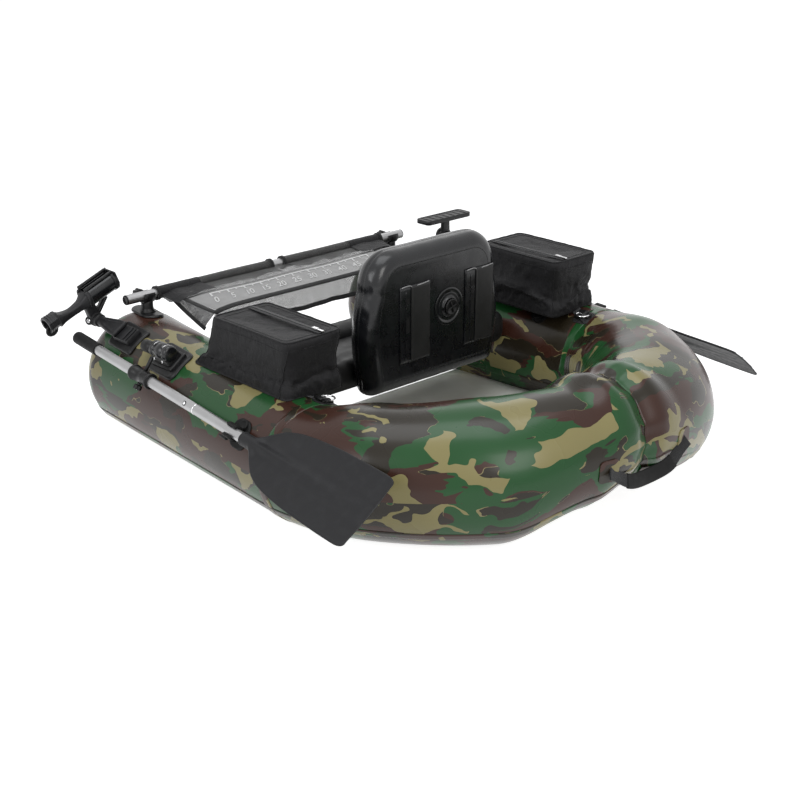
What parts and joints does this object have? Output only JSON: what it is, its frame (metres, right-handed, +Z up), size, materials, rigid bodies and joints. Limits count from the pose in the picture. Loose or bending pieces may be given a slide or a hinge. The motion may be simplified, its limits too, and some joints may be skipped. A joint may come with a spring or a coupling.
{
  "type": "fishing float tube",
  "caption": "Inflatable U-shaped fishing float tube with camo chambers, seat and backrest, ruler apron on a cross bar, cargo bags, clipped oars, rod holder and gear mount.",
  "frame": {"origin": "middle of the outline seen from above, on the ground", "axes": "+X to starboard, +Y to the open bow with the cross bar, +Z up"},
  "size_m": [1.4026, 1.363, 0.516],
  "materials": {
    "camo_vinyl": "semi-gloss camo vinyl",
    "pale_vinyl": "matt pale vinyl",
    "black_vinyl": "glossy black vinyl",
    "black_nylon": "coated nylon",
    "apron_mesh": "woven mesh",
    "black_webbing": "webbing",
    "aluminium": "satin tube",
    "steel": "polished steel",
    "black_plastic": "moulded",
    "blade_plastic": "moulded",
    "black_rubber": "matt"
  },
  "bodies": {
    "float_tube": {"apron_screen": "apron_mesh", "bar_clamp_port": "black_plastic", "bar_clamp_starboard": "black_plastic", "bar_plug_port": "black_plastic", "bar_plug_starboard": "black_plastic", "bar_sleeve_port": "apron_mesh", "bar_sleeve_starboard": "apron_mesh", "cargo_bag_port": "black_nylon", "cargo_bag_starboard": "black_nylon", "cross_bar": "aluminium", "floor_panel": "pale_vinyl", "gear_base": "black_plastic", "handle_patch_port": "camo_vinyl", "handle_patch_starboard": "camo_vinyl", "hull_port": "camo_vinyl", "hull_starboard": "camo_vinyl", "hull_valve_port": "black_plastic", "hull_valve_starboard": "black_plastic", "oar_clip_port": "black_rubber", "oar_clip_starboard": "black_rubber", "oarlock_base_port": "black_plastic", "oarlock_base_starboard": "black_plastic", "ring_patch_port": "black_vinyl", "ring_patch_starboard": "black_vinyl", "rod_holder_base": "black_plastic", "rod_holder_stem": "black_plastic", "seat_cushion": "black_vinyl", "stern_handle": "black_webbing"},
    "backrest": {"backrest_cushion": "black_vinyl", "channel_port": "black_vinyl", "channel_starboard": "black_vinyl", "backrest_valve": "black_plastic"},
    "backrest_valve_cap": {"backrest_valve_cap": "black_plastic"},
    "zip_slider_port": {"zip_slider_port": "steel"},
    "d_ring_port": {"d_ring_port": "steel"},
    "clamp_knob_port": {"clamp_knob_port": "black_plastic"},
    "lock_knob_port": {"lock_knob_port": "black_plastic"},
    "oar_port": {"oar_grip_port": "black_rubber", "oar_upper_shaft_port": "aluminium", "oar_collar_port": "black_plastic"},
    "oar_lower_port": {"oar_lower_shaft_port": "aluminium", "oar_blade_port": "blade_plastic"},
    "oar_button_port": {"oar_button_port": "steel"},
    "collar_screw_port": {"collar_screw_port": "black_plastic"},
    "zip_slider_starboard": {"zip_slider_starboard": "steel"},
    "d_ring_starboard": {"d_ring_starboard": "steel"},
    "clamp_knob_starboard": {"clamp_knob_starboard": "black_plastic"},
    "lock_knob_starboard": {"lock_knob_starboard": "black_plastic"},
    "oar_starboard": {"oar_grip_starboard": "black_rubber", "oar_upper_shaft_starboard": "aluminium", "oar_collar_starboard": "black_plastic"},
    "oar_lower_starboard": {"oar_lower_shaft_starboard": "aluminium", "oar_blade_starboard": "blade_plastic"},
    "oar_button_starboard": {"oar_button_starboard": "steel"},
    "collar_screw_starboard": {"collar_screw_starboard": "black_plastic"},
    "rod_holder_cradle": {"rod_holder_cradle": "black_plastic"},
    "gear_table": {"gear_table": "black_plastic"},
    "gear_knob": {"gear_knob": "black_plastic"},
    "gear_lock_knob": {"gear_lock_knob": "black_plastic"}
  },
  "joints": [
    {"name": "backrest_fold", "type": "hinge", "parent": "float_tube", "child": "backrest", "pos_m": [-0.00092, 0.04477, 0.256], "axis": [-1, 0, 0], "range_deg": [0, 72]},
    {"name": "backrest_cap_turn", "type": "hinge", "parent": "backrest", "child": "backrest_valve_cap", "pos_m": [0.03508, -0.03523, 0.352], "axis": [0, -1, 0], "range_deg": [0, 90]},
    {"name": "zip_slide_port", "type": "slide", "parent": "float_tube", "child": "zip_slider_port", "axis": [0, 1, 0], "range_m": [0, 0.18]},
    {"name": "d_ring_swing_port", "type": "hinge", "parent": "float_tube", "child": "d_ring_port", "pos_m": [-0.43251, -0.12723, 0.26552], "axis": [0, -1, 0], "range_deg": [0, 135]},
    {"name": "clamp_knob_turn_port", "type": "hinge", "parent": "float_tube", "child": "clamp_knob_port", "pos_m": [-0.41492, 0.60227, 0.33], "axis": [0, 1, 0], "range_deg": [-180, 180]},
    {"name": "lock_knob_turn_port", "type": "hinge", "parent": "float_tube", "child": "lock_knob_port", "pos_m": [-0.54389, 0.34977, 0.28142], "axis": [0, 1, 0], "range_deg": [0, 90]},
    {"name": "oar_lift_port", "type": "hinge", "parent": "float_tube", "child": "oar_port", "pos_m": [-0.60492, 0.32177, 0.237], "axis": [-0.523, 0.0794, -0.8486], "range_deg": [0, 4]},
    {"name": "oar_pull_apart_port", "type": "slide", "parent": "oar_port", "child": "oar_lower_port", "axis": [-0.0374, -0.9968, -0.0702], "range_m": [0, 0.09]},
    {"name": "oar_button_press_port", "type": "slide", "parent": "oar_port", "child": "oar_button_port", "axis": [0.8515, 0.0049, -0.5243], "range_m": [0, 0.003], "stiffness_N_per_m": 400, "springref_m": -0.002},
    {"name": "collar_screw_turn_port", "type": "hinge", "parent": "oar_port", "child": "collar_screw_port", "pos_m": [-0.60492, 0.32177, 0.237], "axis": [-0.523, 0.0794, -0.8486], "range_deg": [-180, 180]},
    {"name": "zip_slide_starboard", "type": "slide", "parent": "float_tube", "child": "zip_slider_starboard", "axis": [0, 1, 0], "range_m": [0, 0.18]},
    {"name": "d_ring_swing_starboard", "type": "hinge", "parent": "float_tube", "child": "d_ring_starboard", "pos_m": [0.43068, -0.12723, 0.26552], "axis": [0, 1, 0], "range_deg": [0, 135]},
    {"name": "clamp_knob_turn_starboard", "type": "hinge", "parent": "float_tube", "child": "clamp_knob_starboard", "pos_m": [0.41308, 0.60227, 0.33], "axis": [0, 1, 0], "range_deg": [-180, 180]},
    {"name": "lock_knob_turn_starboard", "type": "hinge", "parent": "float_tube", "child": "lock_knob_starboard", "pos_m": [0.54206, 0.34977, 0.28142], "axis": [0, 1, 0], "range_deg": [0, 90]},
    {"name": "oar_lift_starboard", "type": "hinge", "parent": "float_tube", "child": "oar_starboard", "pos_m": [0.60308, 0.32177, 0.237], "axis": [-0.523, -0.0794, 0.8486], "range_deg": [0, 4]},
    {"name": "oar_pull_apart_starboard", "type": "slide", "parent": "oar_starboard", "child": "oar_lower_starboard", "axis": [0.0374, -0.9968, -0.0702], "range_m": [0, 0.09]},
    {"name": "oar_button_press_starboard", "type": "slide", "parent": "oar_starboard", "child": "oar_button_starboard", "axis": [-0.8515, 0.0049, -0.5243], "range_m": [0, 0.003], "stiffness_N_per_m": 400, "springref_m": -0.002},
    {"name": "collar_screw_turn_starboard", "type": "hinge", "parent": "oar_starboard", "child": "collar_screw_starboard", "pos_m": [0.60308, 0.32177, 0.237], "axis": [0.523, 0.0794, -0.8486], "range_deg": [-180, 180]},
    {"name": "rod_cradle_tilt", "type": "hinge", "parent": "float_tube", "child": "rod_holder_cradle", "pos_m": [-0.53156, 0.61777, 0.28819], "axis": [0, -1, 0], "range_deg": [-15, 30]},
    {"name": "gear_table_tilt", "type": "hinge", "parent": "float_tube", "child": "gear_table", "pos_m": [0.46508, 0.41277, 0.362], "axis": [0, 1, 0], "range_deg": [-25, 25]},
    {"name": "gear_knob_turn", "type": "hinge", "parent": "float_tube", "child": "gear_knob", "pos_m": [0.46508, 0.41277, 0.362], "axis": [0, 1, 0], "range_deg": [-180, 180]},
    {"name": "gear_lock_knob_turn", "type": "hinge", "parent": "float_tube", "child": "gear_lock_knob", "pos_m": [0.47088, 0.46977, 0.31016], "axis": [0, 1, 0], "range_deg": [0, 90]}
  ]
}
